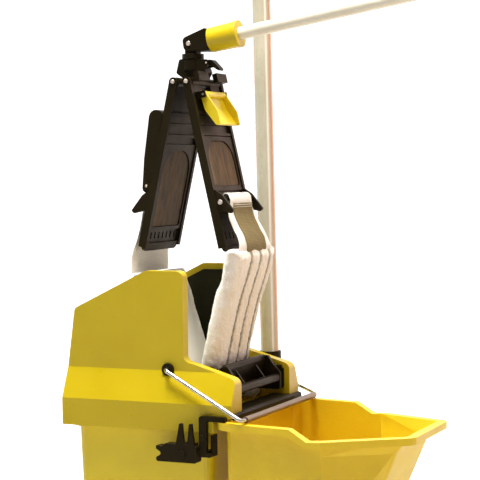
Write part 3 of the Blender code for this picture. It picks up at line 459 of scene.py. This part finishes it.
def swell(obj):
    """Blows the closed form up a little as padded cloth, and applies the result."""
    remesh = obj.modifiers.new("remesh", "REMESH")
    remesh.mode = "VOXEL"
    remesh.voxel_size = SWELL_VOXEL
    apply_modifiers(obj)
    rest = np.array([v.co for v in obj.data.vertices])
    cloth = obj.modifiers.new("cloth", "CLOTH")
    cloth.settings.use_pressure = True
    cloth.settings.uniform_pressure_force = SWELL_PRESSURE
    cloth.settings.mass = 0.15
    cloth.settings.quality = 5
    cloth.settings.effector_weights.gravity = 0.0
    cloth.point_cache.frame_start = 1
    cloth.point_cache.frame_end = SWELL_FRAMES
    for step in range(1, SWELL_FRAMES + 1):
        SCENE.frame_set(step)
    apply_modifiers(obj)
    SCENE.frame_set(1)
    moved = np.array([v.co for v in obj.data.vertices]) - rest
    length = np.linalg.norm(moved, axis=1, keepdims=True)
    moved *= np.minimum(1.0, SWELL_LIMIT / np.maximum(length, 1e-9))
    for vertex, co in zip(obj.data.vertices, rest + moved):
        vertex.co = co


def pad_form(frame_of):
    """The vertices and faces of a pad half's plain closed form."""
    rows, columns = 40, 26
    half_thick = PAD_THICK / 2 - 0.0010
    verts, faces = [], []
    for face in (1, -1):
        for i in range(rows + 1):
            for j in range(columns + 1):
                across = (j / columns * 2 - 1) * (PAD_HALF - 0.005)
                along = 0.004 + i / rows * (PAD_LENGTH - 0.006)
                verts.append(frame_of.point(across, along, face * half_thick))
    width = columns + 1
    count = (rows + 1) * width
    for i in range(rows):
        for j in range(columns):
            a = i * width + j
            b = a + count
            faces.append((a, a + 1, a + width + 1, a + width))
            faces.append((b, b + width, b + width + 1, b + 1))
    rim = list(range(width))
    rim += [i * width + columns for i in range(1, rows + 1)]
    rim += [rows * width + j for j in range(columns - 1, -1, -1)]
    rim += [i * width for i in range(rows - 1, 0, -1)]
    for a, b in zip(rim, rim[1:] + rim[:1]):
        faces.append((a, a + count, b + count, b))
    return verts, faces


def pad(side, word):
    """A pad half: swollen by cloth pressure, sewn in at its stripes and roughened as loops."""
    frame_of = Pad(side)
    obj = mesh_object(f"pad_cloth_{word}", *pad_form(frame_of), TERRY)
    swell(obj)
    subdivide = obj.modifiers.new("subdivide", "SUBSURF")
    subdivide.levels = subdivide.render_levels = 1
    apply_modifiers(obj)
    shape_pad(obj, frame_of)
    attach(obj, f"pad_{word}")
    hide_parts(f"pad_{word}")
    if side > 0:
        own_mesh(obj)
    else:
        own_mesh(obj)


def shape_pad(obj, frame_of):
    """Hangs a pad half from its top, fattens its lobes, roughens its pile, marks its stripes."""
    mesh = obj.data
    co = np.array([v.co for v in mesh.vertices])
    rel = co - np.array(frame_of.top)
    across = rel[:, 1]
    along = rel @ np.array(frame_of.run)
    out = rel @ np.array(frame_of.out)
    right = frame_of.side > 0
    places = (0.0, 0.030, 0.068, 0.113, 0.159, 0.205, 0.232)
    if right:
        stand = (0.005, 0.0055, 0.0035, 0.0045, 0.0080, 0.0110, 0.008)
        plump = (0.6, 1.0, 1.0, 1.0, 1.0, 0.8, 0.6)
    else:
        stand = (-0.002, -0.006, -0.008, -0.009, -0.010, -0.010, -0.006)
        plump = (0.4, 0.6, 0.6, 0.6, 0.5, 0.4, 0.3)
    raised = -0.021 if right else 0.030
    stands = np.interp(along, places, stand)
    plumps = np.interp(along, places, plump)
    stripe = np.zeros(len(co))
    backing = np.zeros(len(co))
    for i in range(len(co)):
        y, s, o = across[i], along[i], out[i]
        face = 1.0 if o > 0 else -1.0
        middle = max(-1.0, min(1.0, o / 0.0045))
        near = max(0.0, 1.0 - (y + PAD_HALF) / 0.060)
        swollen = lobes(max(-PAD_HALF, min(PAD_HALF, y)))
        lift = (0.0036 * (swollen - 0.45) + 0.0035 * near * swollen) * plumps[i]
        if face < 0:
            lift *= 0.35
        pile = noise.noise(Vector((y * 230, s * 230, o * 230))) * 0.0011
        pile += noise.noise(Vector((y * 560, s * 560, o * 560 + 7))) * 0.0006
        rough = 1.0 if face > 0 else 0.35
        out[i] = o + middle * lift + stands[i]
        hem = abs(y) > 0.053 and middle < -0.3
        seam = abs(abs(y) - 0.053) < 0.0016 and middle < -0.3
        out[i] += -0.0010 if hem else 0.0
        out[i] += face * pile * rough
        side = abs(y) / PAD_HALF
        shoulder = max(0.0, 1.0 - s / 0.018) ** 2 * side**4 * 0.008
        if side > 0.88:
            across[i] += math.copysign(1, y) * pile * 1.3
        along[i] = s + raised * max(0.0, 1.0 - s / 0.05) + shoulder
        along[i] += 0.0022 * noise.noise(Vector((y * 40, 2.0, 1.0))) * max(0.0, 1.0 - s / 0.02)
        if face > 0 or abs(o) < 0.0015:
            stripe[i] = stripe_share(y, s) if middle > 0.3 else 0.0
        backing[i] = (0.72 if seam else 1.0) if middle < -0.3 else 0.0
    new = (
        np.array(frame_of.top)[None]
        + np.outer(across, (0, 1, 0))
        + np.outer(along, np.array(frame_of.run))
        + np.outer(out, np.array(frame_of.out))
    )
    for vertex, place in zip(mesh.vertices, new):
        vertex.co = place
    for name, values in (("stripe", stripe), ("backing", backing)):
        attribute = mesh.attributes.new(name, "FLOAT", "POINT")
        attribute.data.foreach_set("value", values.astype(np.float32))
    for polygon in mesh.polygons:
        polygon.use_smooth = True


pad(-1, "left")
pad(1, "right")


# ---------------------------------------------------------------- straps
def band(name, centre, widths, thickness, material):
    """A cloth band through centre (points), with a width at each point, across Y."""
    verts, faces = [], []
    columns = 16
    for k, (point, half) in enumerate(zip(centre, widths)):
        for j in range(columns + 1):
            t = j / columns * 2 - 1
            ripple = 0.0006 * noise.noise(Vector((t * 3, k * 0.35, 5.0)))
            verts.append(point + Vector((ripple, t * half, ripple)))
    width = columns + 1
    for k in range(len(centre) - 1):
        for j in range(columns):
            a = k * width + j
            faces.append((a, a + 1, a + width + 1, a + width))
    obj = mesh_object(name, verts, faces, material)
    solid = obj.modifiers.new("solid", "SOLIDIFY")
    solid.thickness = thickness
    solid.offset = 0.0
    subdivide = obj.modifiers.new("subdivide", "SUBSURF")
    subdivide.levels = subdivide.render_levels = 1
    return apply_modifiers(obj)


def catmull_rom(p, q, r, s, t):
    square = (2 * p - 5 * q + 4 * r - s) * t * t
    return 0.5 * (2 * q + (r - p) * t + square + (3 * q - p - 3 * r + s) * t * t * t)


def spline(points, steps):
    """A smooth run of points through the given ones."""
    result = []
    padded = [points[0], *points, points[-1]]
    for a, b, c, d in zip(padded, padded[1:], padded[2:], padded[3:]):
        for i in range(steps):
            result.append(tuple(catmull_rom(*corners, i / steps) for corners in zip(a, b, c, d)))
    result.append(tuple(points[-1]))
    return result


def run_area(centre, halves):
    """The area of a band through centre, from its half width at each point."""
    steps = zip(centre, centre[1:], halves, halves[1:])
    return sum((b - a).length * (p + q) for a, b, p, q in steps)


def strap(side, word):
    """The white band over the strap bar and down to the pad, with a khaki panel down its middle
    that is painted shade on the white webbing.
    """
    # Along the wing, out from it, and the band's half width there.
    roll = [
        (0.1790, 0.0058, 0.036),
        (0.1700, 0.0090, 0.037),
        (0.1680, 0.0145, 0.038),
        (0.1720, 0.0190, 0.038),
        (0.1800, 0.0195, 0.038),
    ]
    tail = [
        (0.1880, 0.0176, 0.039),
        (0.1960, 0.0166, 0.045),
        (0.2050, 0.0172, 0.050),
        (0.2200, 0.0208, 0.051),
        (0.2350, 0.0252, 0.052),
        (0.2480, 0.0262, 0.056),
        (0.2570, 0.0235, 0.062),
    ]
    if side < 0:
        tail = [
            (0.1880, 0.0170, 0.039),
            (0.1960, 0.0152, 0.045),
            (0.2100, 0.0125, 0.049),
            (0.2350, 0.0118, 0.053),
            (0.2500, 0.0126, 0.057),
            (0.2640, 0.0118, 0.060),
            (0.2770, 0.0088, 0.060),
            (0.2850, 0.0070, 0.060),
        ]
    run = spline(roll + tail, 4)
    centre = [on_wing(side, along, out) for along, out, _ in run]
    halves = [half for *_, half in run]
    white = band(f"strap_cloth_{word}", centre, halves, 0.0014, WHITE_BAND)
    area = run_area(centre, halves)
    # The khaki panel down the band's middle is painted shade on the white webbing.
    panel_path = [p for p in run if p[0] > 0.1830 and p[1] > 0.0125]
    panel_centre = [on_wing(side, along, out + 0.0012) for along, out, _ in panel_path]
    panel_centre = [place + Vector((0, 0.004, 0)) for place in panel_centre]
    panel_width = [0.034 + 0.04 * (half - 0.039) for *_, half in panel_path]
    shade_panel = band(f"strap_painted_shade_{word}", panel_centre, panel_width, 0.0008, PAINTED_SHADE_BAND)
    stitch = stitching(side, word, run)
    shade_panel_area = run_area(panel_centre, panel_width)
    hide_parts(f"strap_{word}")
    for obj in (white, shade_panel, stitch):
        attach(obj, f"wing_{word}")


def stitching(side, word, run):
    """Two rows of stitches across the band under the bar."""
    verts, faces = [], []
    for row in (0.1865, 0.1895):
        below = run[18:]
        out = np.interp(row, [p[0] for p in below], [p[1] for p in below]) + 0.0016
        for k in range(18):
            y = -0.0345 + k * 0.0040
            for corner in ((-0.0002, 0), (0.0002, 0), (0.0002, 1), (-0.0002, 1)):
                place = on_wing(side, row + corner[0] * 2, out)
                verts.append(place + Vector((0, y + corner[1] * 0.0026, 0)))
            a = len(verts) - 4
            faces.append((a, a + 1, a + 2, a + 3))
    obj = mesh_object(f"strap_stitches_{word}", verts, faces, WHITE_BAND)
    solid = obj.modifiers.new("solid", "SOLIDIFY")
    solid.thickness = 0.0005
    solid.offset = 0.0
    return apply_modifiers(obj)


strap(-1, "left")
strap(1, "right")


# ---------------------------------------------------------------- stage
def backdrop():
    """A pale floor that curves up into a wall far behind the object, and glows far out."""
    profile = [(-32.0, 0.0), (10.0, 0.0)]
    radius = 8.0
    for i in range(1, 13):
        angle = math.radians(90 * i / 12)
        profile.append((10.0 + radius * math.sin(angle), radius * (1 - math.cos(angle))))
    profile.append((18.0, 32.0))
    turn = math.radians(CAMERA_TURN)
    back = Vector((-math.sin(turn), math.cos(turn), 0))
    right = Vector((math.cos(turn), math.sin(turn), 0))
    verts, faces = [], []
    for along, up in profile:
        for half in (-36.0, 36.0):
            verts.append(back * along + right * half + Vector((0, 0, up - 0.0005)))
    for k in range(len(profile) - 1):
        a = 2 * k
        faces.append((a, a + 1, a + 3, a + 2))
    s = Shader("pale_backdrop", (0.80, 0.80, 0.79), 0.9)
    s.bsdf.inputs["Emission Color"].default_value = (1.0, 1.0, 1.0, 1)
    far = s.node("VectorMath", Vector=s.place)
    far.operation = "DOT_PRODUCT"
    far.inputs[1].default_value = back
    behind = s.ramp(far.outputs["Value"], 0.35, 1.1, 0.0, 0.95)
    ring = s.node("VectorMath", Vector=s.place)
    ring.operation = "LENGTH"
    around = s.ramp(ring.outputs["Value"], 1.7, 4.2, 0.0, 0.85)
    glow = s.math("MAXIMUM", behind, around)
    s.feed(s.bsdf.inputs["Emission Strength"], glow)
    shade = s.ramp(far.outputs["Value"], 0.1, 0.9, 0.0, 1.0)
    s.colour(s.mix(shade, (0.60, 0.60, 0.59), (0.80, 0.80, 0.79)))
    obj = mesh_object("backdrop", verts, faces, s.material)


def area_light(name, place, target, size, power, colour):
    data = bpy.data.lights.new(name, "AREA")
    data.shape = "DISK"
    data.size = size
    data.energy = power
    data.color = colour
    obj = bpy.data.objects.new(name, data)
    SCENE.collection.objects.link(obj)
    aim = (Vector(target) - Vector(place)).to_track_quat("-Z", "Y")
    obj.matrix_world = Matrix.Translation(place) @ aim.to_matrix().to_4x4()


def sky():
    """Dim light all round; the lamps and the glowing backdrop do the rest."""
    world = bpy.data.worlds.new("studio")
    SCENE.world = world
    world.use_nodes = True
    background = world.node_tree.nodes["Background"]
    background.inputs["Color"].default_value = (1.0, 0.99, 0.97, 1)
    background.inputs["Strength"].default_value = 0.04


def lights():
    """Soft light from above, with weak warm light from the right and from behind."""
    middle = (0.08, 0, 0.5)
    white, warm = (1.0, 0.98, 0.92), (1.0, 0.85, 0.72)
    area_light("top_soft", (-0.10, -0.36, 2.5), middle, 1.0, 98, white)
    area_light("top_right", (0.9, -0.1, 2.3), middle, 1.0, 24, warm)
    area_light("warm_side", (2.7, -0.2, 0.55), middle, 1.8, 9, (1.0, 0.55, 0.40))
    area_light("warm_back", (1.09, 2.46, 0.8), middle, 1.5, 9, (1.0, 0.50, 0.33))
    area_light("front_fill", (-1.9, -2.4, 1.2), middle, 1.6, 1.5, (1.0, 0.99, 0.96))


def camera():
    turn, tilt, roll = (math.radians(a) for a in (CAMERA_TURN, CAMERA_TILT, CAMERA_ROLL))
    flat = math.cos(tilt)
    back = Vector((math.sin(turn) * flat, -math.cos(turn) * flat, math.sin(tilt)))
    level = Vector((math.cos(turn), math.sin(turn), 0))
    rise = back.cross(level)
    right = level * math.cos(roll) + rise * math.sin(roll)
    up = rise * math.cos(roll) - level * math.sin(roll)
    data = bpy.data.cameras.new("camera")
    data.lens = CAMERA_LENS
    data.sensor_width = 36.0
    data.clip_end = 60.0
    obj = bpy.data.objects.new("camera", data)
    SCENE.collection.objects.link(obj)
    place = Vector(CAMERA_TARGET) + back * CAMERA_DISTANCE
    turned = Matrix((right, up, back)).transposed().to_4x4()
    obj.matrix_world = Matrix.Translation(place) @ turned
    SCENE.camera = obj


backdrop()
sky()
lights()
camera()
SCENE.view_settings.view_transform = "Standard"
